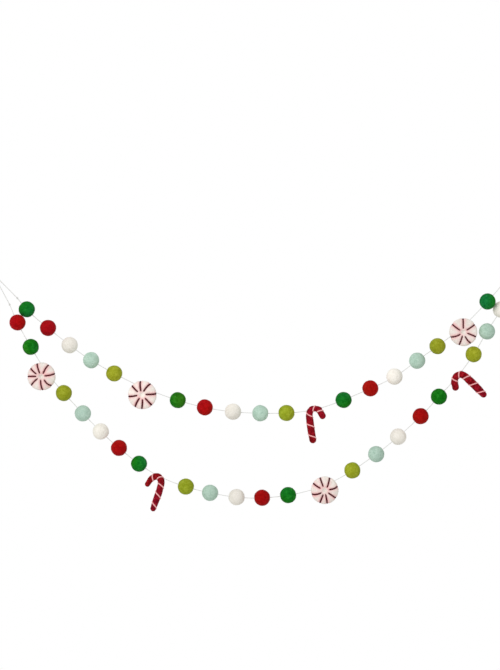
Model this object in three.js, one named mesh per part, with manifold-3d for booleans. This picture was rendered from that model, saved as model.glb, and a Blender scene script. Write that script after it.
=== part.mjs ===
// A felt ball garland: 37 wool felt balls, 4 felt peppermints and 3 felt candy canes on one cotton string.
// The string hangs doubled. Its two knotted end loops share the left hanging point and it turns back at the
// right hanging point, so the garland falls in two swags, a short one above a long one.
// Millimetres. +X runs to the right, +Z is up and the front faces -Y. The origin is the left hanging point.
import * as THREE from "three";
import { mergeVertices } from "three/addons/utils/BufferGeometryUtils.js";
import Module from "manifold-3d";

const wasm = await Module();
wasm.setup();

const string = { radius: 0.5, sides: 8, stride: 16, leastSteps: 3 }; // a step at most every stride
const hole = { radius: 1.35, sides: 8, steps: 4 }; // what the needle leaves, with room for the string to bend
const ball = { radius: 11.2, sides: 14, rings: 8, lump: 0.016 };
const peppermint = {
  radius: 19.6,
  sides: 32,
  middle: 4.4, // half the thickness at the middle, where the stitches draw it in
  crown: 6.2, // half the thickness on the crown
  shoulder: 4.6, // half the thickness where the rim starts to turn
  stitches: 8,
  pinch: 0.04, // how far a stitch draws the rim in, as a share of the radius
};
const cane = {
  sides: 12,
  rings: 32,
  capRings: 3,
  reach: 10, // how far to either side of its middle a cane's crook covers the string
  windings: [5, 20, 34, 45.5, 55], // where the wound yarn passes the front, measured from the foot
  groove: 0.5, // how deep that yarn presses into the felt
  grooveWidth: 1.6,
};
const endLoop = { atHook: 2.1, atKnot: 0.65, stops: 8 }; // half the loop's width, and the stops round its hook
const knot = { radius: 1.25, length: 3.2, sides: 8, rings: 5, gap: 0.3 };

const felts = {
  green: 0x1b7026,
  red: 0xa00e12,
  white: 0xeae6dd,
  mint: 0xb3cebf,
  lime: 0x99a02f,
  cream: 0xece2d6,
  caneRed: 0x960c19,
};
const cottonGrey = 0xe6e6e4;

// The string's middle line, from the upper end's knot along the upper swag, round the right hanging point,
// and back along the lower swag to the lower end's knot.
const route = [
  [29, 2, -28],
  [42, 5, -44],
  [71, 3, -69],
  [130, 0, -113],
  [205, 0, -152],
  [286, 0, -178],
  [362, 0, -186],
  [436, 0, -181],
  [513, 0, -152],
  [546, 0, -136],
  [577, 0, -114],
  [636, -2, -70],
  [673, -5, -33],
  [705, -2, 3],
  [708, -1, 5],
  [711, -1, 4],
  [712, 0, 0.5],
  [709, 1, -6],
  [704, 3, -17],
  [693, 6, -43],
  [673, 4, -74],
  [655, 2, -105],
  [631, 0, -137],
  [607, 0, -163],
  [582, 0, -190],
  [521, 0, -242],
  [447, 0, -286],
  [365, 0, -302],
  [293, 0, -295],
  [223, 0, -272],
  [169, 0, -234],
  [119, 0, -186],
  [70, -1, -130],
  [30, -5, -62],
  [19, -3, -37],
];
const hangLeft = { upper: [1.2, 0, 0], lower: [-1.2, 0, 0] }; // the two end loops, side by side on one hook

// The pieces in the order that they are threaded. Each group is five balls and the ornament after them.
// `balls` is how far along the string each ball's middle lies. `drop` is how far below the string a
// peppermint's middle hangs, and `bend` is the way that a cane was bent.
const ballColours = ["green", "red", "white", "mint", "lime"];
const groups = [
  { balls: [20.5, 59.5, 97.5, 133.5, 170], peppermint: 217, drop: 10.2 },
  { balls: [264.5, 303, 342, 379.5, 415.5], cane: 453.4, bend: "upright" },
  { balls: [496, 536, 573, 611, 645], peppermint: 684.5, drop: 6.7 },
  { balls: [737, 816, 845, 881, 917.5], cane: 956.8, bend: "leaning" },
  { balls: [992.5, 1029.5, 1071, 1109.5, 1149], peppermint: 1194.7, drop: 6.8 },
  { balls: [1244, 1280, 1315, 1352, 1386], cane: 1426.9, bend: "hooked" },
  { balls: [1458, 1493, 1526.5, 1561.5, 1599.5], peppermint: 1636, drop: 9.6 },
  { balls: [1677.5, 1715.5] },
];

// A cane's middle line from the foot of its shaft to the tip of its crook, as [along, up, radius]: millimetres
// along the string from the middle of the crook, up from the string, and the rod's radius there.
const caneBends = {
  upright: {
    foot: [-10.4, -40.2, 4.7],
    shaft: [-9.8, -26.7, 5.1],
    waist: [-8.7, -13.7, 5],
    neck: [-7.6, -5.2, 4.5],
    heel: [-3.2, 1, 4.1],
    crown: [1.2, 1, 3.9],
    shoulder: [6, -1.4, 4.2],
    tip: [9.6, -10.9, 4.5],
  },
  leaning: {
    foot: [-5.9, -43.5, 4.3],
    shaft: [-6.7, -36, 5.2],
    waist: [-8.3, -16.5, 5.4],
    neck: [-8.2, -5, 4.8],
    heel: [-5.6, -0.9, 4.6],
    crown: [-0.8, 1.1, 4.6],
    shoulder: [5, -0.8, 4.6],
    tip: [11.4, -7.7, 4.7],
  },
  hooked: {
    foot: [-14.4, -43.2, 3.8],
    shaft: [-12.9, -32.7, 4.6],
    waist: [-11.6, -22.2, 4.7],
    neck: [-10.1, -14.5, 4.6],
    heel: [-7.3, -5.3, 4.6],
    crown: [-0.6, -1.2, 4.5],
    shoulder: [5.8, -6.7, 4.2],
    tip: [7.8, -17, 3.5],
  },
};

const stringLine = new THREE.CatmullRomCurve3(
  route.map((point) => new THREE.Vector3(...point)),
  false,
  "centripetal",
);
stringLine.arcLengthDivisions = 2000;
const stringLength = stringLine.getLength();

const pointAt = (along) => stringLine.getPointAt(along / stringLength);

// The frame of a piece that covers the string for `reach` to either side of its middle: X along the string,
// Z up and square to it, Y out of the swag's plane. The origin halves the string's sag inside the piece.
function frameAt(along, reach) {
  const before = pointAt(along - reach);
  const after = pointAt(along + reach);
  const x = after.clone().sub(before).normalize();
  const y = new THREE.Vector3(0, 0, 1).cross(x).normalize();
  const z = new THREE.Vector3().crossVectors(x, y);
  const origin = before.add(after).multiplyScalar(0.5).lerp(pointAt(along), 0.5);
  return new THREE.Matrix4().makeBasis(x, y, z).setPosition(origin);
}

function named(name, geometry, color, roughness) {
  geometry.computeVertexNormals();
  const mesh = new THREE.Mesh(geometry, new THREE.MeshStandardMaterial({ color, roughness, metalness: 0 }));
  mesh.name = name;
  return mesh;
}

function feltMesh(name, geometry, felt, frame) {
  const mesh = named(name, geometry, felts[felt], 0.95);
  mesh.applyMatrix4(frame);
  return mesh;
}

function circle(radius, sides) {
  const corner = (_, i) => {
    const turn = (2 * Math.PI * i) / sides;
    return new THREE.Vector2(radius * Math.cos(turn), radius * Math.sin(turn));
  };
  return Array.from({ length: sides }, corner);
}

// A round tube that bends at each stop and runs straight between them.
function tube(stops, radius, sides) {
  const line = new THREE.CatmullRomCurve3(stops, false, "centripetal");
  line.getUtoTmapping = (u) => u;
  const section = new THREE.Shape(circle(radius, sides));
  return new THREE.ExtrudeGeometry(section, { steps: stops.length - 1, extrudePath: line, bevelEnabled: false });
}

function solidOf(geometry) {
  const bare = geometry.clone();
  bare.deleteAttribute("normal");
  bare.deleteAttribute("uv");
  const merged = mergeVertices(bare, 1e-4);
  return new wasm.Manifold(
    new wasm.Mesh({
      numProp: 3,
      vertProperties: new Float32Array(merged.attributes.position.array),
      triVerts: new Uint32Array(merged.index.array),
    }),
  );
}

function geometryOf(solid) {
  const mesh = solid.getMesh();
  return new THREE.BufferGeometry()
    .setAttribute("position", new THREE.BufferAttribute(mesh.vertProperties, 3))
    .setIndex(new THREE.BufferAttribute(mesh.triVerts, 1));
}

// Cuts the needle's hole through an ornament, along the string's own line. `reach` is half the hole's length.
function threaded(geometry, frame, along, reach) {
  const stops = Array.from({ length: hole.steps + 1 }, (_, i) => along + reach * ((2 * i) / hole.steps - 1));
  const cutter = tube(stops.map(pointAt), hole.radius, hole.sides);
  cutter.applyMatrix4(frame.clone().invert());
  return geometryOf(solidOf(geometry).subtract(solidOf(cutter)));
}

// A gentle unevenness of about one part in one, different for each seed and the same wherever a point is met.
function unevenness(point, seed) {
  const wave = (x, y, z, shift) => Math.sin(x * point.x + y * point.y + z * point.z + shift * seed);
  return (wave(0.21, 0.05, 0.13, 2.1) + wave(-0.11, 0.24, 0.07, 3.7) + wave(0.06, -0.13, 0.26, 5.3)) / 3;
}

// Moves each point straight out from the middle by the share that `share` returns for it.
function swell(geometry, share) {
  const place = geometry.attributes.position;
  const point = new THREE.Vector3();
  for (let i = 0; i < place.count; i += 1) {
    point.fromBufferAttribute(place, i);
    point.multiplyScalar(1 + share(point));
    place.setXYZ(i, point.x, point.y, point.z);
  }
  return geometry;
}

// A hand-rolled felt ball, turned about its needle hole and left a little lumpy.
function feltBall(name, colour, along, seed) {
  const { radius, sides, rings, lump } = ball;
  const first = Math.asin(hole.radius / radius);
  const outside = Array.from({ length: rings + 1 }, (_, i) => {
    const turn = first + ((Math.PI - 2 * first) * i) / rings;
    return new THREE.Vector2(radius * Math.sin(turn), -radius * Math.cos(turn));
  });
  const geometry = new THREE.LatheGeometry([...outside, outside[0]], sides).rotateZ(-Math.PI / 2);
  swell(geometry, (point) => lump * unevenness(point, seed));
  return feltMesh(name, geometry, colour, frameAt(along, radius));
}

// A domed felt disc on edge, hung from a chord. Eight stitches draw in its middle and its rim.
function peppermintDisc(name, along, drop) {
  const { radius, sides, middle, crown, shoulder, stitches, pinch } = peppermint;
  const half = [
    new THREE.Vector2(0, middle),
    new THREE.Vector2(0.22 * radius, 0.5 * (middle + crown)),
    new THREE.Vector2(0.52 * radius, crown),
    new THREE.Vector2(0.84 * radius, shoulder),
    new THREE.Vector2(0.97 * radius, 0.45 * shoulder),
  ];
  const back = half.map((point) => new THREE.Vector2(point.x, -point.y)).reverse();
  const rim = new THREE.Vector2(radius, 0);
  const geometry = new THREE.LatheGeometry([...half, rim, ...back].reverse(), sides);
  swell(geometry, (point) => {
    const turn = Math.atan2(point.z, point.x);
    const out = Math.hypot(point.x, point.z) / radius;
    return -pinch * out * Math.max(0, Math.cos(stitches * turn)) ** 2;
  });
  geometry.translate(0, 0, -drop);
  const frame = frameAt(along, radius);
  return feltMesh(name, threaded(geometry, frame, along, radius + 4), "cream", frame);
}

// A rolled felt rod with round tips and grooves under its wound yarn, bent into a crook that the string spears.
function candyCane(name, along, bend) {
  const { sides, rings, capRings, windings, groove, grooveWidth } = cane;
  const stops = Object.values(caneBends[bend]);
  const radii = stops.map((stop) => stop[2]);
  const [footRadius, tipRadius] = [radii.at(0), radii.at(-1)];
  const line = new THREE.CatmullRomCurve3(
    stops.map(([x, z]) => new THREE.Vector3(x, 0, z)),
    false,
    "centripetal",
  );
  const length = line.getLength();
  const radiusAt = (at) => {
    const stop = line.getUtoTmapping(at / length) * (radii.length - 1);
    const before = Math.min(Math.floor(stop), radii.length - 2);
    const pressed = windings.map((winding) => Math.exp(-(((at - winding) / grooveWidth) ** 2)));
    const dip = groove * pressed.reduce((sum, value) => sum + value);
    return THREE.MathUtils.lerp(radii[before], radii[before + 1], stop - before) - dip;
  };
  const cap = Array.from({ length: capRings }, (_, i) => (Math.PI * i) / (2 * capRings));
  const foot = cap.map((turn) => [footRadius * Math.sin(turn), -footRadius * Math.cos(turn)]);
  const tip = cap.map((turn) => [tipRadius * Math.sin(turn), length + tipRadius * Math.cos(turn)]).reverse();
  const rod = Array.from({ length: rings + 1 }, (_, i) => [radiusAt((length * i) / rings), (length * i) / rings]);
  const profile = [...foot, ...rod, ...tip].map(([radius, at]) => new THREE.Vector2(radius, at));
  const geometry = new THREE.LatheGeometry(profile, sides);
  const place = geometry.attributes.position;
  const point = new THREE.Vector3();
  for (let i = 0; i < place.count; i += 1) {
    point.fromBufferAttribute(place, i);
    const at = THREE.MathUtils.clamp(point.y, 0, length);
    const ahead = line.getTangentAt(at / length);
    const middle = line.getPointAt(at / length).addScaledVector(ahead, point.y - at);
    place.setXYZ(i, middle.x - ahead.z * point.x, point.z, middle.z + ahead.x * point.x);
  }
  const frame = frameAt(along, cane.reach);
  return feltMesh(name, threaded(geometry, frame, along, 2 * cane.reach), "caneRed", frame);
}

// One end of the string, doubled back over its hook as a narrow loop, its two legs one in front of the other.
function stringEnd(name, hook, knotPoint) {
  const top = new THREE.Vector3(...hook);
  const foot = new THREE.Vector3(...knotPoint);
  const down = foot.clone().sub(top).normalize();
  const side = new THREE.Vector3(0, 1, 0).projectOnPlane(down).normalize();
  const legEnd = foot.distanceTo(top) - knot.length / 2 - knot.gap;
  const spot = (along, across) => top.clone().addScaledVector(down, along).addScaledVector(side, across);
  const turn = Array.from({ length: endLoop.stops + 1 }, (_, i) => {
    const angle = (Math.PI * i) / endLoop.stops;
    return spot(-endLoop.atHook * Math.sin(angle), endLoop.atHook * Math.cos(angle));
  });
  const legs = [spot(legEnd, endLoop.atKnot), ...turn, spot(legEnd, -endLoop.atKnot)];
  const loopMesh = named(`loop_${name}`, tube(legs, string.radius, string.sides), cottonGrey, 0.85);

  const bead = Array.from({ length: knot.rings + 1 }, (_, i) => {
    const angle = (Math.PI * i) / knot.rings;
    return new THREE.Vector2(knot.radius * Math.sin(angle), (-knot.length / 2) * Math.cos(angle));
  });
  bead[0].x = 0;
  bead[knot.rings].x = 0;
  const knotMesh = named(`knot_${name}`, new THREE.LatheGeometry(bead, knot.sides), cottonGrey, 0.85);
  knotMesh.quaternion.setFromUnitVectors(new THREE.Vector3(0, 1, 0), down);
  knotMesh.position.copy(foot);
  return [loopMesh, knotMesh];
}

// The string between its two knots, stepped more closely where it turns over its hook.
function mainString() {
  const trim = (knot.length / 2 + knot.gap) / stringLength;
  const spans = route.length - 1;
  const stops = [stringLine.getPointAt(trim)];
  for (let span = 0; span < spans; span += 1) {
    const reach = stringLine.points[span].distanceTo(stringLine.points[span + 1]);
    const steps = Math.max(string.leastSteps, Math.ceil(reach / string.stride));
    for (let i = span === 0 ? 1 : 0; i < steps; i += 1) {
      stops.push(stringLine.getPoint((span + i / steps) / spans));
    }
  }
  stops.push(stringLine.getPointAt(1 - trim));
  return named("string", tube(stops, string.radius, string.sides), cottonGrey, 0.85);
}

const garland = new THREE.Group();
garland.add(mainString());
garland.add(...stringEnd("upper", hangLeft.upper, route.at(0)));
garland.add(...stringEnd("lower", hangLeft.lower, route.at(-1)));
let ballCount = 0;
groups.forEach((group, g) => {
  group.balls.forEach((along, i) => {
    ballCount += 1;
    const name = `ball_${String(ballCount).padStart(2, "0")}_${ballColours[i]}`;
    garland.add(feltBall(name, ballColours[i], along, ballCount));
  });
  const number = Math.floor(g / 2) + 1;
  if (group.peppermint) garland.add(peppermintDisc(`peppermint_${number}`, group.peppermint, group.drop));
  if (group.cane) garland.add(candyCane(`candy_cane_${number}`, group.cane, group.bend));
});

export default garland;
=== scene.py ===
import math
import random

import bmesh
import bpy
import numpy as np
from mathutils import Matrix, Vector, noise


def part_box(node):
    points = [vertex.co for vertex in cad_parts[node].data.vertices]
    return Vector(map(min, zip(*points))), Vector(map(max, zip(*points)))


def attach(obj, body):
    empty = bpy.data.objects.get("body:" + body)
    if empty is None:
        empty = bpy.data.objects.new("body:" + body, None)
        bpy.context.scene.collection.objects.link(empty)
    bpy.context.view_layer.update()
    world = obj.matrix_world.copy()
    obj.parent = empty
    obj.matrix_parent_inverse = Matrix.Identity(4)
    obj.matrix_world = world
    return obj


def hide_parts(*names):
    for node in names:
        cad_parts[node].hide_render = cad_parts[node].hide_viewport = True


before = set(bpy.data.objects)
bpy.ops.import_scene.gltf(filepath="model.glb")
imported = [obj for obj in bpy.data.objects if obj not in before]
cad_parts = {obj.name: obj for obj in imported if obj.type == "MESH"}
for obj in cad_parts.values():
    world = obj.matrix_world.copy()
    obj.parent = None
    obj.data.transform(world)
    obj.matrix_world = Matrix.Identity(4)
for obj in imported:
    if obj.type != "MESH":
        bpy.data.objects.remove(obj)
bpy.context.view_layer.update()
scene = bpy.context.scene
print("frame loaded:", len(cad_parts), "solids")

cameraSet = {
    "place": (0.3481, -4.0, -0.0788),  # straight in front of the swags
    "viewHeight": 0.9179,              # metres from top to bottom of the picture where the garland hangs
    "sensor": 36.0,                    # millimetres
}


def addCamera():
    data = bpy.data.cameras.new("camera")
    data.sensor_width = cameraSet["sensor"]
    data.lens = cameraSet["sensor"] * -cameraSet["place"][1] / cameraSet["viewHeight"]
    camera = bpy.data.objects.new("camera", data)
    camera.location = cameraSet["place"]
    camera.rotation_euler = (math.radians(90), 0, 0)
    scene.collection.objects.link(camera)
    scene.camera = camera


addCamera()


def unit(vectors):
    return vectors / np.linalg.norm(vectors, axis=-1, keepdims=True)


def runAlong(line):  # how far along the line each of its points is
    return np.r_[0, np.cumsum(np.linalg.norm(np.diff(line, axis=0), axis=1))]


def evenly(line, step):
    run = runAlong(line)
    marks = np.linspace(0, run[-1], max(2, round(run[-1] / step) + 1))
    return np.column_stack([np.interp(marks, run, line[:, axis]) for axis in range(3)])


def smoothLine(stops, step, perSpan=60):  # a centripetal curve through the stops, as even points
    stops = np.array(stops, float)
    stops = np.vstack([2 * stops[0] - stops[1], stops, 2 * stops[-1] - stops[-2]])
    gaps = np.sqrt(np.linalg.norm(np.diff(stops, axis=0), axis=1))
    t = np.linspace(0, 1, perSpan, endpoint=False)[:, None]
    spans = []
    for i in range(1, len(stops) - 2):
        back, here, there, on = stops[i - 1:i + 3]
        gapBack, gap, gapOn = gaps[i - 1:i + 2]
        leave = ((here - back) / gapBack - (there - back) / (gapBack + gap) + (there - here) / gap) * gap
        arrive = ((there - here) / gap - (on - here) / (gap + gapOn) + (on - there) / gapOn) * gap
        square = -3 * here + 3 * there - 2 * leave - arrive
        cube = 2 * here - 2 * there + leave + arrive
        spans.append(here + leave * t + square * t ** 2 + cube * t ** 3)
    return evenly(np.vstack(spans + [stops[-2:-1]]), step)


def framesOn(line, start=(0, -1, 0)):  # ahead, across and over at each point, turned with the line
    ahead = unit(np.gradient(line, axis=0))
    across = np.empty_like(line)
    last = np.array(start, float)
    for i, way in enumerate(ahead):
        last = last - way * last.dot(way)
        last = last / np.linalg.norm(last)
        across[i] = last
    return ahead, across, np.cross(ahead, across)


def tubeFaces(rings, sides, closed=False):
    faces = []
    for ring in range(rings if closed else rings - 1):
        here, there = ring * sides, (ring + 1) % rings * sides
        for side in range(sides):
            after = (side + 1) % sides
            faces.append((here + side, here + after, there + after, there + side))
    if not closed:
        faces.append(tuple(range(sides))[::-1])
        faces.append(tuple(range((rings - 1) * sides, rings * sides)))
    return faces


def yarnMesh(line, radius, pitch, sides=8, plies=2, groove=0.22, closed=False):  # a lobe for each twisted ply
    ahead, across, over = framesOn(line)
    run = runAlong(line)
    angle = np.linspace(0, 2 * math.pi, sides, endpoint=False)
    along = angle[None] - 2 * math.pi * run[:, None] / pitch
    reach = np.reshape(radius, (-1, 1)) * (1 - groove * (1 - np.abs(np.cos(plies * along / 2))))
    rings = (line[:, None]
             + (reach * np.cos(angle))[..., None] * across[:, None]
             + (reach * np.sin(angle))[..., None] * over[:, None])
    strands = np.stack([run[:, None] + 0 * reach, reach * np.cos(along), reach * np.sin(along)], axis=-1)
    return rings.reshape(-1, 3), tubeFaces(len(line), sides, closed), strands.reshape(-1, 3)


def joined(parts):  # several (points, faces) as one
    points, faces, first = [], [], 0
    for partPoints, partFaces in parts:
        points.append(partPoints)
        faces.extend(tuple(corner + first for corner in face) for face in partFaces)
        first += len(partPoints)
    return np.vstack(points), faces


def addPiece(name, points, faces, material, replaces=()):
    mesh = bpy.data.meshes.new(name)
    mesh.from_pydata(points.tolist(), [], faces)
    mesh.validate()
    mesh.shade_smooth()
    mesh.materials.append(material)
    piece = bpy.data.objects.new(name, mesh)
    scene.collection.objects.link(piece)
    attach(piece, "root")
    if replaces:
        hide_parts(*replaces)
    return piece


def setNumbers(piece, name, kind, key, numbers):  # numbers kept on the piece's points for its material
    kept = piece.data.attributes.new(name, kind, "POINT")
    kept.data.foreach_set(key, np.ravel(numbers))


stringSet = {
    "diameter": 0.001,
    "pitch": 0.0032,       # one turn of its two plies
    "step": 0.00055,
    "intoKnot": 0.0004,    # how near the middle of a knot the string and the loop end
    "hookSpread": 0.0021,  # half the width of an end loop round its hook
    "knotSpread": 0.00065,
    "hookPoints": 25,      # along the half turn round the hook
}

# knot to knot: along the upper swag, round the right hanging point and back along the lower swag
stringStops = [
    (0.029, 0.002, -0.028), (0.042, 0.005, -0.044), (0.071, 0.003, -0.069), (0.130, 0, -0.113),
    (0.205, 0, -0.152), (0.286, 0, -0.178), (0.362, 0, -0.186), (0.436, 0, -0.181), (0.513, 0, -0.152),
    (0.546, 0, -0.136), (0.577, 0, -0.114), (0.636, -0.002, -0.070), (0.673, -0.005, -0.033),
    (0.705, -0.002, 0.003), (0.708, -0.001, 0.005), (0.711, -0.001, 0.004), (0.712, 0, 0.0005),
    (0.709, 0.001, -0.006), (0.704, 0.003, -0.017), (0.693, 0.006, -0.043), (0.673, 0.004, -0.074),
    (0.655, 0.002, -0.105), (0.631, 0, -0.137), (0.607, 0, -0.163), (0.582, 0, -0.190),
    (0.521, 0, -0.242), (0.447, 0, -0.286), (0.365, 0, -0.302), (0.293, 0, -0.295), (0.223, 0, -0.272),
    (0.169, 0, -0.234), (0.119, 0, -0.186), (0.070, -0.001, -0.130), (0.030, -0.005, -0.062),
    (0.019, -0.003, -0.037),
]
stringLine = smoothLine(stringStops, stringSet["step"])
stringRun = runAlong(stringLine)


def stringAt(along):
    return np.array([np.interp(along, stringRun, stringLine[:, axis]) for axis in range(3)])


def pieceFrame(along, reach):  # the frame of a piece that is threaded from along - reach to along + reach
    before, after = stringAt(along - reach), stringAt(along + reach)
    x = unit(after - before)
    y = unit(np.cross((0, 0, 1), x))
    origin = 0.5 * (0.5 * (before + after) + stringAt(along))
    return origin, x, y, np.cross(x, y)


farAway = 1.0  # metres, further than any two points of a piece


def nearString(points, reach=0.03):  # each point's distance from the string
    middle = points.mean(axis=0)
    near = stringLine[np.linalg.norm(stringLine - middle, axis=1) < reach + np.ptp(points, axis=0).max() / 2]
    near = near[::2]
    away = np.full(len(points), farAway)
    for spot in near:
        away = np.minimum(away, np.linalg.norm(points - spot, axis=1))
    return away


def addNode(tree, kind, inputs=None, **settings):
    made = tree.nodes.new(kind)
    for key, value in settings.items():
        setattr(made, key, value)
    for key, value in (inputs or {}).items():
        if isinstance(value, bpy.types.NodeSocket):
            tree.links.new(value, made.inputs[key])
        else:
            made.inputs[key].default_value = value
    return made


def linear(colour):  # a screen colour of 0 to 255 as Blender's linear one
    share = [channel / 255 for channel in colour]
    return tuple(c / 12.92 if c <= 0.04045 else ((c + 0.055) / 1.055) ** 2.4 for c in share) + (1.0,)


def startMaterial(name):
    material = bpy.data.materials.new(name)
    material.use_nodes = True
    tree = material.node_tree
    tree.nodes.clear()
    shader = addNode(tree, "ShaderNodeBsdfPrincipled")
    addNode(tree, "ShaderNodeOutputMaterial", {"Surface": shader.outputs["BSDF"]})
    return material, tree, shader


def between(tree, cloudy, low, high):  # a noise of about 0.3 to 0.7 spread from low to high
    spread = addNode(tree, "ShaderNodeMapRange",
                     {"Value": cloudy, "From Min": 0.3, "From Max": 0.7, "To Min": low, "To Max": high})
    return spread.outputs["Result"]


def addNumbers(tree, first, second, firstShare, secondShare):
    scaled = addNode(tree, "ShaderNodeMath", {0: first, 1: firstShare}, operation="MULTIPLY")
    return addNode(tree, "ShaderNodeMath", {0: second, 1: secondShare, 2: scaled.outputs[0]},
                   operation="MULTIPLY_ADD").outputs[0]


feltSet = {
    "patch": 240,                          # mottled patches, a few millimetres across
    "patchShare": 0.45,                    # how much of the mottling is patches, and the rest is fibres
    "fibre": (0.0030, 0.00024, 0.00024),   # the size of a matted fibre
    "fibreTurns": [(0.2, 0.1, 0.3), (0.9, 0.5, 1.4), (2.1, 1.2, 0.6), (1.5, 2.3, 2.6)],
    "grain": 5200,
    "darkBelow": 0.42, "middleAt": 0.56, "lightAbove": 0.70,
    "strandRise": 0.8,                     # how much of the bump is matted fibres, and the rest is grain
    "drift": 17,                           # how slowly the dye drifts from piece to piece
    "fade": 0.09,                          # and how much lighter or darker it gets
    "stain": 75, "stained": (0.4, 1.6),    # how unevenly the stitches have stained the felt beside them
    "roughness": 0.97,
    "gloss": 0.08,
    "sheen": 0.12,
    "sheenRoughness": 0.3,
    "bumpDepth": 0.0003,
}

feltDyes = {  # dark, middle and light wool in each felt, and how far its hue drifts
    "green": {"dark": (6, 79, 15), "middle": (14, 116, 25), "light": (43, 142, 46), "drift": 0.026},
    "red": {"dark": (129, 3, 5), "middle": (167, 9, 9), "light": (193, 22, 25), "drift": 0.002},
    "white": {"dark": (232, 227, 216), "middle": (243, 238, 228), "light": (251, 248, 241), "drift": 0.004},
    "mint": {"dark": (156, 186, 168), "middle": (181, 209, 192), "light": (203, 225, 211), "drift": 0.010},
    "lime": {"dark": (126, 136, 18), "middle": (153, 163, 38), "light": (178, 186, 68), "drift": 0.012},
    "cream": {"dark": (222, 212, 202), "middle": (241, 233, 225), "light": (249, 244, 239), "drift": 0.004},
    "caneRed": {"dark": (70, 1, 9), "middle": (140, 9, 22), "light": (196, 38, 54), "drift": 0.004},
}


def feltMaterial(name, dye, blush=None):
    material, tree, shader = startMaterial(name)
    where = addNode(tree, "ShaderNodeTexCoord").outputs["Object"]
    strands = None
    for turn in feltSet["fibreTurns"]:
        turned = addNode(tree, "ShaderNodeMapping",
                         {"Vector": where, "Rotation": turn, "Scale": feltSet["fibre"]},
                         vector_type="TEXTURE").outputs["Vector"]
        streak = addNode(tree, "ShaderNodeTexNoise",
                         {"Vector": turned, "Scale": 1.0, "Detail": 2.0, "Distortion": 0.8}).outputs["Fac"]
        if strands is None:
            strands = streak
        else:
            strands = addNode(tree, "ShaderNodeMath", {0: strands, 1: streak}, operation="MAXIMUM").outputs[0]
    patches = addNode(tree, "ShaderNodeTexNoise",
                      {"Vector": where, "Scale": feltSet["patch"], "Detail": 4.0, "Roughness": 0.6,
                       "Distortion": 0.7}).outputs["Fac"]
    grain = addNode(tree, "ShaderNodeTexNoise",
                    {"Vector": where, "Scale": feltSet["grain"], "Detail": 2.0}).outputs["Fac"]
    mixed = addNumbers(tree, patches, strands, feltSet["patchShare"], 1 - feltSet["patchShare"])
    ramp = addNode(tree, "ShaderNodeValToRGB", {"Fac": mixed})
    dark, light = ramp.color_ramp.elements
    dark.position, dark.color = feltSet["darkBelow"], linear(dye["dark"])
    light.position, light.color = feltSet["lightAbove"], linear(dye["light"])
    ramp.color_ramp.elements.new(feltSet["middleAt"]).color = linear(dye["middle"])
    slow = addNode(tree, "ShaderNodeTexNoise", {"Vector": where, "Scale": feltSet["drift"], "Detail": 1.0})
    hue = between(tree, slow.outputs["Fac"], 0.5 - dye["drift"], 0.5 + dye["drift"])
    apart = addNode(tree, "ShaderNodeSeparateColor", {"Color": slow.outputs["Color"]}).outputs["Green"]
    value = between(tree, apart, 1 - feltSet["fade"], 1 + feltSet["fade"])
    shade = addNode(tree, "ShaderNodeHueSaturation",
                    {"Color": ramp.outputs["Color"], "Hue": hue, "Value": value}).outputs["Color"]
    if blush:
        near = addNode(tree, "ShaderNodeAttribute", attribute_name="blush").outputs["Fac"]
        stain = addNode(tree, "ShaderNodeTexNoise",
                        {"Vector": where, "Scale": feltSet["stain"], "Detail": 2.0}).outputs["Fac"]
        stained = addNode(tree, "ShaderNodeMath", {0: near, 1: between(tree, stain, *feltSet["stained"])},
                          operation="MULTIPLY")
        shade = addNode(tree, "ShaderNodeMix", {0: stained.outputs[0], 6: shade, 7: linear(blush)},
                        data_type="RGBA").outputs[2]
    height = addNumbers(tree, strands, grain, feltSet["strandRise"], 1 - feltSet["strandRise"])
    bump = addNode(tree, "ShaderNodeBump",
                   {"Height": height, "Strength": 0.7, "Distance": feltSet["bumpDepth"]})
    tree.links.new(shade, shader.inputs["Base Color"])
    tree.links.new(bump.outputs["Normal"], shader.inputs["Normal"])
    shader.inputs["Roughness"].default_value = feltSet["roughness"]
    shader.inputs["Specular IOR Level"].default_value = feltSet["gloss"]
    shader.inputs["Sheen Weight"].default_value = feltSet["sheen"]
    shader.inputs["Sheen Roughness"].default_value = feltSet["sheenRoughness"]
    return material


yarnSet = {
    "fibre": (0.0028, 0.00015, 0.00015),  # the size of a spun fibre, its length along the twist
    "darkBelow": 0.36, "lightAbove": 0.62,
    "roughness": 0.90, "gloss": 0.10, "sheen": 0.10, "bumpDepth": 0.00025,
}
yarnDyes = {
    "cotton": {"dark": (207, 207, 205), "light": (238, 238, 235)},
    "stitch": {"dark": (40, 2, 9), "light": (104, 10, 27)},
    "pale": {"dark": (242, 145, 149), "light": (255, 200, 199)},
}


def yarnMaterial(name, dye):
    material, tree, shader = startMaterial(name)
    strand = addNode(tree, "ShaderNodeAttribute", attribute_name="strand").outputs["Vector"]
    where = addNode(tree, "ShaderNodeMapping", {"Vector": strand, "Scale": yarnSet["fibre"]},
                    vector_type="TEXTURE").outputs["Vector"]
    fibres = addNode(tree, "ShaderNodeTexNoise",
                     {"Vector": where, "Scale": 1.0, "Detail": 3.0, "Distortion": 0.5}).outputs["Fac"]
    ramp = addNode(tree, "ShaderNodeValToRGB", {"Fac": fibres})
    dark, light = ramp.color_ramp.elements
    dark.position, dark.color = yarnSet["darkBelow"], linear(dye["dark"])
    light.position, light.color = yarnSet["lightAbove"], linear(dye["light"])
    bump = addNode(tree, "ShaderNodeBump",
                   {"Height": fibres, "Strength": 0.7, "Distance": yarnSet["bumpDepth"]})
    tree.links.new(ramp.outputs["Color"], shader.inputs["Base Color"])
    tree.links.new(bump.outputs["Normal"], shader.inputs["Normal"])
    shader.inputs["Roughness"].default_value = yarnSet["roughness"]
    shader.inputs["Specular IOR Level"].default_value = yarnSet["gloss"]
    shader.inputs["Sheen Weight"].default_value = yarnSet["sheen"]
    return material


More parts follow.
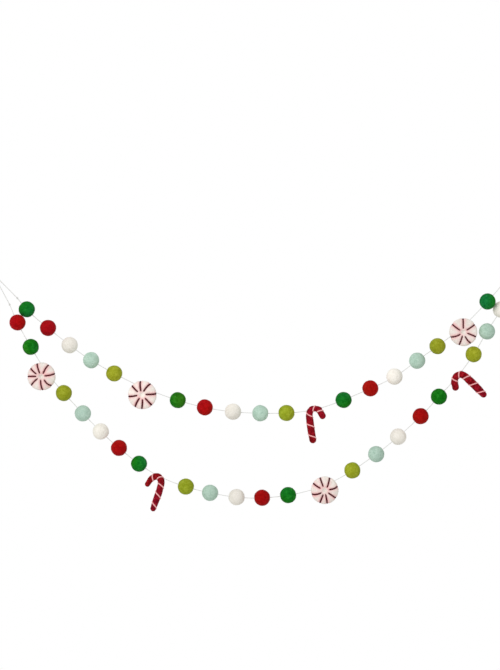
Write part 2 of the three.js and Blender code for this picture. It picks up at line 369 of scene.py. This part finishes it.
discBlush = (246, 188, 188)
felts = {name: feltMaterial(f"{name} felt", dye, discBlush if name == "cream" else None)
         for name, dye in feltDyes.items()}
yarns = {name: yarnMaterial(f"{name} yarn", dye) for name, dye in yarnDyes.items()}
print("materials made:", len(felts) + len(yarns))

hangLeft = {"upper": (0.0012, 0.0, 0.0), "lower": (-0.0012, 0.0, 0.0)}  # the two end loops on one hook
knotSet = {"reach": 0.00105, "stretch": 0.0015, "depth": 0.9, "points": 90, "pitch": 0.003}


def endLoop(hook, knot):  # from the knot up its back leg, round the hook and down its front leg
    down = unit(knot - hook)
    side = unit(np.array((0, 1, 0)) - down * down[1])
    legEnd = np.linalg.norm(knot - hook) - stringSet["intoKnot"]
    spread, close = stringSet["hookSpread"], stringSet["knotSpread"]
    turn = [hook + side * spread * math.cos(a) - down * spread * math.sin(a)
            for a in np.linspace(0, math.pi, stringSet["hookPoints"])]
    foot = hook + down * legEnd
    return evenly(np.vstack([[foot + side * close], turn, [foot - side * close]]), stringSet["step"])


def overhandKnot(middle, down):  # a small trefoil, its long way down the string
    t = np.linspace(0, 2 * math.pi, knotSet["points"], endpoint=False)
    side = unit(np.cross((0, 1, 0), down))
    front = np.cross(down, side)
    r, s = knotSet["reach"] / 3, knotSet["stretch"] / 3  # the plain trefoil reaches 3 from its middle
    across = r * (np.sin(t) + 2 * np.sin(2 * t))
    along = s * (np.cos(t) - 2 * np.cos(2 * t))
    out = -knotSet["depth"] * r * np.sin(3 * t)
    line = middle + across[:, None] * side + along[:, None] * down + out[:, None] * front
    return yarnMesh(line, stringSet["diameter"] / 2, knotSet["pitch"], closed=True)


def cottonPiece(name, node, points, faces, strands):
    piece = addPiece(name, points, faces, yarns["cotton"], [node])
    setNumbers(piece, "strand", "FLOAT_VECTOR", "vector", strands)
    return piece


def makeString():
    trim = stringSet["intoKnot"]
    inside = (stringRun > trim) & (stringRun < stringRun[-1] - trim)
    line = evenly(stringLine[inside], stringSet["step"])
    radius, pitch = stringSet["diameter"] / 2, stringSet["pitch"]
    string = cottonPiece("cotton_string", "string", *yarnMesh(line, radius, pitch))
    for end, knot in (("upper", stringLine[0]), ("lower", stringLine[-1])):
        hook = np.array(hangLeft[end])
        tied = overhandKnot(knot, unit(knot - hook))
        cottonPiece(f"tied_knot_{end}", f"knot_{end}", *tied)
        loopLine = endLoop(hook, knot)
        loop = cottonPiece(f"end_loop_{end}", f"loop_{end}", *yarnMesh(loopLine, radius, pitch))
    print("string:", round(runAlong(line)[-1], 3), "m")


makeString()


def cubeSphere(cuts):  # unit directions and squares, evenly spread, with no poles
    shape = bmesh.new()
    bmesh.ops.create_cube(shape, size=2)
    bmesh.ops.subdivide_edges(shape, edges=shape.edges, cuts=cuts - 1, use_grid_fill=True)
    places = np.array([corner.co[:] for corner in shape.verts])
    faces = [tuple(corner.index for corner in face.verts) for face in shape.faces]
    shape.free()
    return unit(np.tan(np.clip(places, -1, 1) * math.pi / 4)), faces


def normalsOf(points, faces):
    corners = np.array([face[:4] for face in faces if len(face) >= 4])
    across = points[corners[:, 2]] - points[corners[:, 0]]
    over = points[corners[:, 3]] - points[corners[:, 1]]
    lean = np.cross(across, over)
    normals = np.zeros_like(points)
    for column in range(4):
        np.add.at(normals, corners[:, column], lean)
    return unit(normals + 1e-15)  # a point with no face of four corners still gets a direction


surfaceSet = {
    "lumpSize": 0.0075, "lumpRise": 0.00016,      # soft lumps left by the hands
    "creaseSize": 0.0026, "creaseRise": 0.00012,  # fine felting creases
    "creaseWidth": 0.25,                          # how far the noise gets from 0 inside a crease
    "holeWidth": 0.0014, "holeDepth": 0.0008,     # where the string goes in
    "shift": (1.7, 0.9, -1.3),                    # the noise moves this far for each next piece
}


def feltRise(points, seed):  # how far each point of a felt surface lies above its plain form
    shift = Vector([seed * way for way in surfaceSet["shift"]])
    lumps, creases = 1 / surfaceSet["lumpSize"], 1 / surfaceSet["creaseSize"]
    rise = np.empty(len(points))
    for i, point in enumerate(points):
        spot = Vector(point)
        soft = noise.noise(spot * lumps + shift)
        fine = noise.noise(spot * creases - shift)
        crease = max(0.0, 1 - abs(fine) / surfaceSet["creaseWidth"])
        rise[i] = surfaceSet["lumpRise"] * soft - surfaceSet["creaseRise"] * crease
    return rise


def felted(points, faces, seed):
    normals = normalsOf(points, faces)
    hole = surfaceSet["holeDepth"] * np.exp(-(nearString(points) / surfaceSet["holeWidth"]) ** 2)
    return points + normals * (feltRise(points, seed) - hole)[:, None], normals


hairSet = {
    "length": (0.0008, 0.0026), "thickness": 0.000024, "rise": (0.04, 0.34), "curl": (0.2, 1.5),
    "arch": 0.7 * math.pi,           # how much of an arch it makes before it ends
    "root": 0.0002,                  # how deep it starts in the felt
    "marks": (0.0, 0.35, 0.7, 1.0),  # where it bends, as shares of its length
    "thin": (1.0, 0.9, 0.6),
    "corners": (0.5, 2.6, 4.7),      # the turns of its three edges
}
# its root, its tip, and three sides between the three rings of corners
hairFaces = [(2, 1, 0), (6, 7, 9), (7, 8, 9), (8, 6, 9)] + [
    (3 * ring + side, 3 * ring + (side + 1) % 3, 3 * ring + (side + 1) % 3 + 3, 3 * ring + side + 3)
    for ring in range(2) for side in range(3)]


def hair(root, normal, draw):  # one loose fibre that curls over the felt, a thin closed spike
    lie = normal.cross(Vector((draw.gauss(0, 1), draw.gauss(0, 1), draw.gauss(0, 1)))).normalized()
    side = normal.cross(lie)
    length = draw.uniform(*hairSet["length"])
    rise = draw.uniform(*hairSet["rise"])
    curl = draw.uniform(*hairSet["curl"]) * draw.choice((-1, 1))
    spine = [root - normal * hairSet["root"] * (1 - mark)
             + (lie * math.sin(curl * mark) + side * (1 - math.cos(curl * mark))) * length / curl
             + normal * length * rise * math.sin(hairSet["arch"] * mark) for mark in hairSet["marks"]]
    ring = [(side * math.cos(a) + normal * math.sin(a)) * hairSet["thickness"] for a in hairSet["corners"]]
    corners = [spot + out * thin for spot, thin in zip(spine, hairSet["thin"]) for out in ring] + spine[-1:]
    return np.array([corner[:] for corner in corners]), hairFaces


def hairs(points, normals, count, draw):
    roots = [draw.randrange(len(points)) for _ in range(count)]
    return [hair(Vector(points[root]), Vector(normals[root]), draw) for root in roots]


def addYarn(name, lengths, material, fuzz, draw):  # one piece of several lengths of yarn, with loose fibres
    points, faces = joined([length[:2] for length in lengths])
    spikes = hairs(points, normalsOf(points, faces), fuzz, draw)
    strands = np.vstack([length[2] for length in lengths] + [np.zeros_like(spike[0]) for spike in spikes])
    points, faces = joined([(points, faces)] + spikes)
    setNumbers(addPiece(name, points, faces, material), "strand", "FLOAT_VECTOR", "vector", strands)


ballSet = {
    "radius": 0.01115,
    "cuts": 22,
    "squash": 0.012, "swell": 1.2,  # how far a ball is from round, and in how many broad lumps
    "offset": 9,                    # how far off in the noise a ball's lumps may be taken
    "hairs": 480,
    "seed": 100,
}
roundDirections, roundFaces = cubeSphere(ballSet["cuts"])


def middleOf(node):
    low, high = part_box(node)
    return np.array([(a + b) / 2 for a, b in zip(low, high)])


def makeBall(node, number, colour):
    middle = middleOf(node)
    draw = random.Random(ballSet["seed"] + number)
    shift = Vector([draw.uniform(-ballSet["offset"], ballSet["offset"]) for _ in range(3)])
    swell = np.array([noise.noise(Vector(way) * ballSet["swell"] + shift) for way in roundDirections])
    reach = ballSet["radius"] * (1 + 2 * ballSet["squash"] * swell)
    points = middle + roundDirections * reach[:, None]
    points, normals = felted(points, roundFaces, number)
    points, faces = joined([(points, roundFaces)] + hairs(points, normals, ballSet["hairs"], draw))
    addPiece(f"wool_ball_{number:02d}_{colour}", points, faces, felts[colour], [node])


balls = sorted(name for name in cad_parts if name.startswith("ball_"))
for number, node in enumerate(balls, 1):
    makeBall(node, number, node.split("_")[2])
print("felt balls:", len(balls))

discSet = {
    "radius": 0.0193,
    "crown": 0.0061,       # half its thickness
    "power": 3.0,          # how square its edge is
    "dimple": 0.0039, "dimpleWidth": 0.0033,
    "groove": 0.0014, "grooveWidth": 0.0014,
    "rimPull": 0.25,       # how much deeper a stitch pulls in at the rim
    "rimPower": 6,         # and how near the rim that starts
    "cuts": 46,
    "hairs": 700,
    "seed": 500, "feltSeed": 50,
    "chordReach": 0.015,   # the string this far to either side sets which way the disc faces
    "backSpread": 9,       # degrees that a stitch may wander to either side behind
}
stitchSet = {
    "thick": 0.00092,
    "rest": 0.00056,       # how far its middle lies above the bottom of its groove
    "pitch": 0.0068, "plies": 3, "groove": 0.24, "sides": 15, "step": 0.0004,
    "backStart": 0.29,     # how far from the middle it ends behind, as a share of the radius
    "pathPoints": 400,
    "dive": 0.0016, "diveLength": 0.0010, "taper": 0.5,
    "blush": 0.85, "blushWidth": 0.0034,
    "clearMiddle": 0.0034, "clearPower": 4,  # the middle has no stain, and how sharply it starts
    "fuzz": 200,
}

# each stitch's turn from the right-hand side in degrees, at its start by the middle and at the rim, how far
# from the middle it starts as a share of the radius, and how many degrees it bows to the side between
discs = {
    "peppermint_1": {"size": 1.010, "yarn": 1.22, "stitches": [
        (108, 98, 0.29, 0), (68, 54, 0.27, 0), (8, 5, 0.25, -2), (313, 313, 0.31, 0),
        (274, 268, 0.31, 0), (229, 239, 0.30, 0), (185, 186, 0.36, 2), (144, 138, 0.39, 0)]},
    "peppermint_2": {"size": 0.990, "yarn": 1.02, "stitches": [
        (90, 91, 0.26, 0), (30, 33, 0.28, 0), (343, 339, 0.30, 0), (291, 303, 0.32, 0),
        (257, 252, 0.28, 0), (217, 202, 0.27, 0), (151, 145, 0.26, 0)]},
    "peppermint_3": {"size": 0.980, "yarn": 1.14, "stitches": [
        (112, 110, 0.30, 0), (52, 68, 0.27, 3), (9, 17, 0.32, -3), (325, 325, 0.31, 0),
        (283, 281, 0.29, 0), (249, 249, 0.32, 0), (215, 197, 0.29, 1), (155, 149, 0.34, 0)]},
    "peppermint_4": {"size": 0.995, "yarn": 1.05, "stitches": [
        (118, 109, 0.26, 0), (62, 58, 0.24, 3), (9, 12, 0.23, -2), (308, 318, 0.30, -5),
        (258, 275, 0.25, 0), (209, 221, 0.32, 0), (179, 180, 0.38, 0), (154, 143, 0.40, 0)]},
}


def discForm(ways):  # ways: unit directions, x right, y to the back, z up
    out = np.hypot(ways[:, 0], ways[:, 2])
    reach = (out ** discSet["power"] + np.abs(ways[:, 1]) ** discSet["power"]) ** (-1 / discSet["power"])
    return np.column_stack([ways[:, 0] * discSet["radius"] * reach,
                            ways[:, 1] * discSet["crown"] * reach,
                            ways[:, 2] * discSet["radius"] * reach])


def stitchPath(row, backTurn):  # a stitch on the plain form: from the front middle over the rim to the back
    startTurn, rimTurn, start, bow = row
    tilt = np.linspace(0, math.pi, stitchSet["pathPoints"])
    ways = np.column_stack([np.sin(tilt), -np.cos(tilt), np.zeros_like(tilt)])
    share = discForm(ways)[:, 0] / discSet["radius"]
    front = tilt < math.pi / 2
    keep = np.where(front, share > start, share > stitchSet["backStart"])
    tilt, share, front = tilt[keep], share[keep], front[keep]
    ease = np.clip((share - start) / (1 - start), 0, 1)
    first = np.where(front, startTurn, backTurn)
    turn = np.radians(first + (rimTurn - first) * ease + bow * front * np.sin(math.pi * ease))
    ways = np.column_stack([np.sin(tilt) * np.cos(turn), -np.cos(tilt), np.sin(tilt) * np.sin(turn)])
    return evenly(discForm(ways), stitchSet["step"])


def sunkAt(points, paths):  # how deep the dimple and the grooves are at each point of the plain form
    out = np.hypot(points[:, 0], points[:, 2])
    near = np.full(len(points), farAway)
    for path in paths:
        for spot in path[::2]:
            near = np.minimum(near, np.linalg.norm(points - spot, axis=1))
    pull = 1 + discSet["rimPull"] * (out / discSet["radius"]) ** discSet["rimPower"]
    depth = discSet["dimple"] * np.exp(-(out / discSet["dimpleWidth"]) ** 2)
    depth += discSet["groove"] * pull * np.exp(-(near / discSet["grooveWidth"]) ** 2)
    return depth, near


def discFrame(middle):  # right along the string's own way past the disc, back, and up
    nearest = np.argmin(np.linalg.norm(stringLine - middle, axis=1))
    reach = round(discSet["chordReach"] / stringSet["step"])
    chord = stringLine[nearest + reach] - stringLine[nearest - reach]
    right = unit(chord * (1, 1, 0) * np.sign(chord[0]))
    up = np.array([0.0, 0.0, 1.0])
    return np.array([right, np.cross(up, right), up])


def stitchYarn(path, thick):  # one stitch, its ends drawn down into the felt
    normal = unit(path / (discSet["radius"], discSet["crown"], discSet["radius"]))
    depth = sunkAt(path, [path])[0]
    line = path - normal * (depth - stitchSet["rest"])[:, None]
    run = runAlong(line)
    sunk = np.exp(-(np.minimum(run, run[-1] - run) / stitchSet["diveLength"]) ** 2)
    line = line - normal * (stitchSet["dive"] * sunk)[:, None]
    return yarnMesh(line, thick * (1 - stitchSet["taper"] * sunk), stitchSet["pitch"], stitchSet["sides"],
                    stitchSet["plies"], stitchSet["groove"])


def makePeppermint(node, number):
    middle = middleOf(node)
    disc = discs[node]
    turned = discFrame(middle) * disc["size"]
    draw = random.Random(discSet["seed"] + number)
    spread = discSet["backSpread"]
    paths = [stitchPath(row, row[1] + draw.uniform(-spread, spread)) for row in disc["stitches"]]

    plain = discForm(discDirections)
    depth, near = sunkAt(plain, paths)
    plain = plain - normalsOf(plain, discFaces) * depth[:, None]
    points, normals = felted(middle + plain @ turned, discFaces, discSet["feltSeed"] + number)
    blush = stitchSet["blush"] * np.exp(-(near / stitchSet["blushWidth"]) ** 2)
    out = np.hypot(plain[:, 0], plain[:, 2])
    blush *= 1 - np.exp(-(out / stitchSet["clearMiddle"]) ** stitchSet["clearPower"])
    points, faces = joined([(points, discFaces)] + hairs(points, normals, discSet["hairs"], draw))
    felt = addPiece(f"felt_peppermint_{number}", points, faces, felts["cream"], [node])
    setNumbers(felt, "blush", "FLOAT", "value", np.r_[blush, np.zeros(len(points) - len(blush))])

    lengths = []
    for path in paths:
        line, sides, strands = stitchYarn(path, stitchSet["thick"] * disc["yarn"])
        lengths.append((middle + line @ turned, sides, strands))
    addYarn(f"peppermint_stitches_{number}", lengths, yarns["stitch"], stitchSet["fuzz"], draw)


discDirections, discFaces = cubeSphere(discSet["cuts"])
for number, node in enumerate(sorted(discs), 1):
    makePeppermint(node, number)
print("peppermints:", len(discs))

caneSet = {
    "windings": (0.005, 0.020, 0.034, 0.0455, 0.055),  # where the wound yarn passes the front, from the foot
    "groove": 0.0010, "grooveWidth": 0.0012,
    "yarn": 0.00092, "pitch": 0.0062, "plies": 3, "plyGroove": 0.24, "yarnSides": 15,
    "yarnPoints": 380,     # rings along the wound yarn
    "climb": 2.5,          # how much longer the yarn is than the rod that it winds
    "rest": 0.00024,       # how far the yarn's middle lies inside the rod's surface
    "dive": 0.0018, "diveLength": 0.0012, "taper": 0.5,
    "fuzz": 130,
    "step": 0.00045, "sides": 60, "capRings": 9,
    "reach": 0.010,        # the string this far to either side sets which way the cane faces
    "evened": 15,          # over how many rings the rod's radius is evened out
    "hairs": 520,
    "seed": 700, "feltSeed": 70,
}

# the yarn's turn about the rod at places along it, half a turn more at each end
windings = np.array(caneSet["windings"])
windMarks = np.r_[1.5 * windings[0] - 0.5 * windings[1], windings, 1.5 * windings[-1] - 0.5 * windings[-2]]
windTurns = 2 * math.pi * np.r_[-0.5, np.arange(len(windings)), len(windings) - 0.5]

# each cane's middle line and radius, from the foot of its shaft to the tip of its crook: how far along the
# string from the middle of the crook, how far above the string, and the rod's radius there
caneBends = {
    "candy_cane_1": {"along": 0.4534, "stops": [
        (-0.0104, -0.0402, 0.0047), (-0.0098, -0.0267, 0.0051), (-0.0087, -0.0137, 0.0050),
        (-0.0076, -0.0052, 0.0045), (-0.0032, 0.0010, 0.0041), (0.0012, 0.0010, 0.0039),
        (0.0060, -0.0014, 0.0042), (0.0096, -0.0109, 0.0045)]},
    "candy_cane_2": {"along": 0.9568, "stops": [
        (-0.0059, -0.0435, 0.0043), (-0.0067, -0.0360, 0.0052), (-0.0083, -0.0165, 0.0054),
        (-0.0082, -0.0050, 0.0048), (-0.0056, -0.0009, 0.0046), (-0.0008, 0.0011, 0.0046),
        (0.0050, -0.0008, 0.0046), (0.0114, -0.0077, 0.0047)]},
    "candy_cane_3": {"along": 1.4269, "stops": [
        (-0.0144, -0.0432, 0.0038), (-0.0129, -0.0327, 0.0046), (-0.0116, -0.0222, 0.0047),
        (-0.0101, -0.0145, 0.0046), (-0.0073, -0.0053, 0.0046), (-0.0006, -0.0012, 0.0045),
        (0.0058, -0.0067, 0.0042), (0.0078, -0.0170, 0.0035)]},
}


def windingAt(at, step=0.0005):  # the yarn's turn about the rod there, and how fast it turns
    before, after = np.interp(at - step, windMarks, windTurns), np.interp(at + step, windMarks, windTurns)
    return np.interp(at, windMarks, windTurns), (after - before) / (2 * step)


def caneRod(bend):  # the cane's middle line, its radius there, and the ways ahead, to the front and left
    origin, x, y, z = pieceFrame(bend["along"], caneSet["reach"])
    flat = smoothLine([(along, 0, up) for along, up, radius in bend["stops"]], caneSet["step"])
    run = runAlong(flat)
    nearest = [np.argmin(np.hypot(flat[:, 0] - along, flat[:, 2] - up)) for along, up, _ in bend["stops"]]
    radius = np.interp(run, run[nearest], [radius for _, _, radius in bend["stops"]])
    rings = caneSet["evened"]
    radius = np.convolve(np.pad(radius, rings // 2, "edge"), np.ones(rings) / rings, "valid")
    line = origin + flat[:, :1] * x + flat[:, 2:] * z
    ahead = unit(np.gradient(line, axis=0))
    front = y if y[1] < 0 else -y
    return line, radius, ahead, front, np.cross(front, ahead)


def caneFelt(line, radius, ahead, front, left):  # the rod with round caps, grooved where the yarn winds
    run = runAlong(line)
    cap = (np.arange(caneSet["capRings"]) + 0.5) / caneSet["capRings"] * math.pi / 2
    rings = [(0, -radius[0] * math.cos(a), radius[0] * math.sin(a)) for a in cap]
    rings += [(i, 0.0, radius[i]) for i in range(len(run))]
    rings += [(len(run) - 1, radius[-1] * math.cos(a), radius[-1] * math.sin(a)) for a in cap[::-1]]
    angle = np.linspace(0, 2 * math.pi, caneSet["sides"], endpoint=False)
    points = []
    for i, past, wide in rings:
        turn, rate = windingAt(run[i] + past)
        away = ((angle - turn + math.pi) % (2 * math.pi) - math.pi) / math.hypot(1 / wide, rate)
        wound = windMarks[0] < run[i] + past < windMarks[-1]
        out = wide - caneSet["groove"] * wound * np.exp(-(away / caneSet["grooveWidth"]) ** 2)
        spokes = np.cos(angle)[:, None] * front + np.sin(angle)[:, None] * left[i]
        points.append(line[i] + ahead[i] * past + out[:, None] * spokes)
    return np.vstack(points), tubeFaces(len(rings), caneSet["sides"])


def caneYarn(line, radius, front, left):  # wound up the rod, its ends tucked into the felt
    run = runAlong(line)
    at = np.linspace(windMarks[0], windMarks[-1], caneSet["yarnPoints"])
    turn = windingAt(at)[0]
    toEnd = np.minimum(at - at[0], at[-1] - at) * caneSet["climb"]
    sunk = np.exp(-(toEnd / caneSet["diveLength"]) ** 2)
    out = np.interp(at, run, radius) - caneSet["rest"] - caneSet["dive"] * sunk
    place = np.column_stack([np.interp(at, run, line[:, axis]) for axis in range(3)])
    side = np.column_stack([np.interp(at, run, left[:, axis]) for axis in range(3)])
    wound = place + (out * np.cos(turn))[:, None] * front + (out * np.sin(turn))[:, None] * side
    thick = caneSet["yarn"] * (1 - caneSet["taper"] * sunk)
    return yarnMesh(wound, thick, caneSet["pitch"], caneSet["yarnSides"], caneSet["plies"],
                    caneSet["plyGroove"])


def makeCane(node, number):
    line, radius, ahead, front, left = caneRod(caneBends[node])
    draw = random.Random(caneSet["seed"] + number)
    points, faces = caneFelt(line, radius, ahead, front, left)
    points, normals = felted(points, faces, caneSet["feltSeed"] + number)
    points, faces = joined([(points, faces)] + hairs(points, normals, caneSet["hairs"], draw))
    addPiece(f"felt_cane_{number}", points, faces, felts["caneRed"], [node])
    yarn = caneYarn(line, radius, front, left)
    addYarn(f"cane_yarn_{number}", [yarn], yarns["pale"], caneSet["fuzz"], draw)
    print(node, "length", round(runAlong(line)[-1], 4))


for number, node in enumerate(sorted(caneBends), 1):
    makeCane(node, number)

studioSet = {
    "background": 1.0,
    "surround": 0.70,                                        # light from all round
    "place": (-1.4, -3.6, 1.8), "size": 2.6, "watts": 80,    # one wide soft light in front, up on the left
    "aim": (0.35, 0, -0.15),
    "floorMiddle": (0.35, 0, -0.68), "floorRadius": 1.1, "floorSides": 96,
    "floorColour": (238, 238, 236), "floorRoughness": 0.9,
}


def addStudio():
    scene.view_settings.view_transform = "Standard"
    world = bpy.data.worlds.new("studio")
    scene.world = world
    world.use_nodes = True
    tree = world.node_tree
    tree.nodes.clear()
    ray = addNode(tree, "ShaderNodeLightPath").outputs["Is Camera Ray"]
    strength = addNode(tree, "ShaderNodeMapRange",
                       {"Value": ray, "To Min": studioSet["surround"], "To Max": studioSet["background"]})
    light = addNode(tree, "ShaderNodeBackground",
                    {"Color": (1, 1, 1, 1), "Strength": strength.outputs["Result"]})
    addNode(tree, "ShaderNodeOutputWorld", {"Surface": light.outputs["Background"]})
    data = bpy.data.lights.new("key", "AREA")
    data.size, data.energy = studioSet["size"], studioSet["watts"]
    key = bpy.data.objects.new("key", data)
    key.location = studioSet["place"]
    way = Vector(studioSet["aim"]) - Vector(studioSet["place"])
    key.rotation_euler = way.to_track_quat("-Z", "Y").to_euler()
    scene.collection.objects.link(key)


def addFloor():
    shape = bmesh.new()
    bmesh.ops.create_circle(shape, cap_ends=True, segments=studioSet["floorSides"],
                            radius=studioSet["floorRadius"])
    mesh = bpy.data.meshes.new("floor")
    shape.to_mesh(mesh)
    shape.free()
    floor = bpy.data.objects.new("floor", mesh)
    floor.location = studioSet["floorMiddle"]
    material, tree, shader = startMaterial("pale floor")
    shader.inputs["Base Color"].default_value = linear(studioSet["floorColour"])
    shader.inputs["Roughness"].default_value = studioSet["floorRoughness"]
    mesh.materials.append(material)
    scene.collection.objects.link(floor)


addStudio()
addFloor()
print("studio ready")
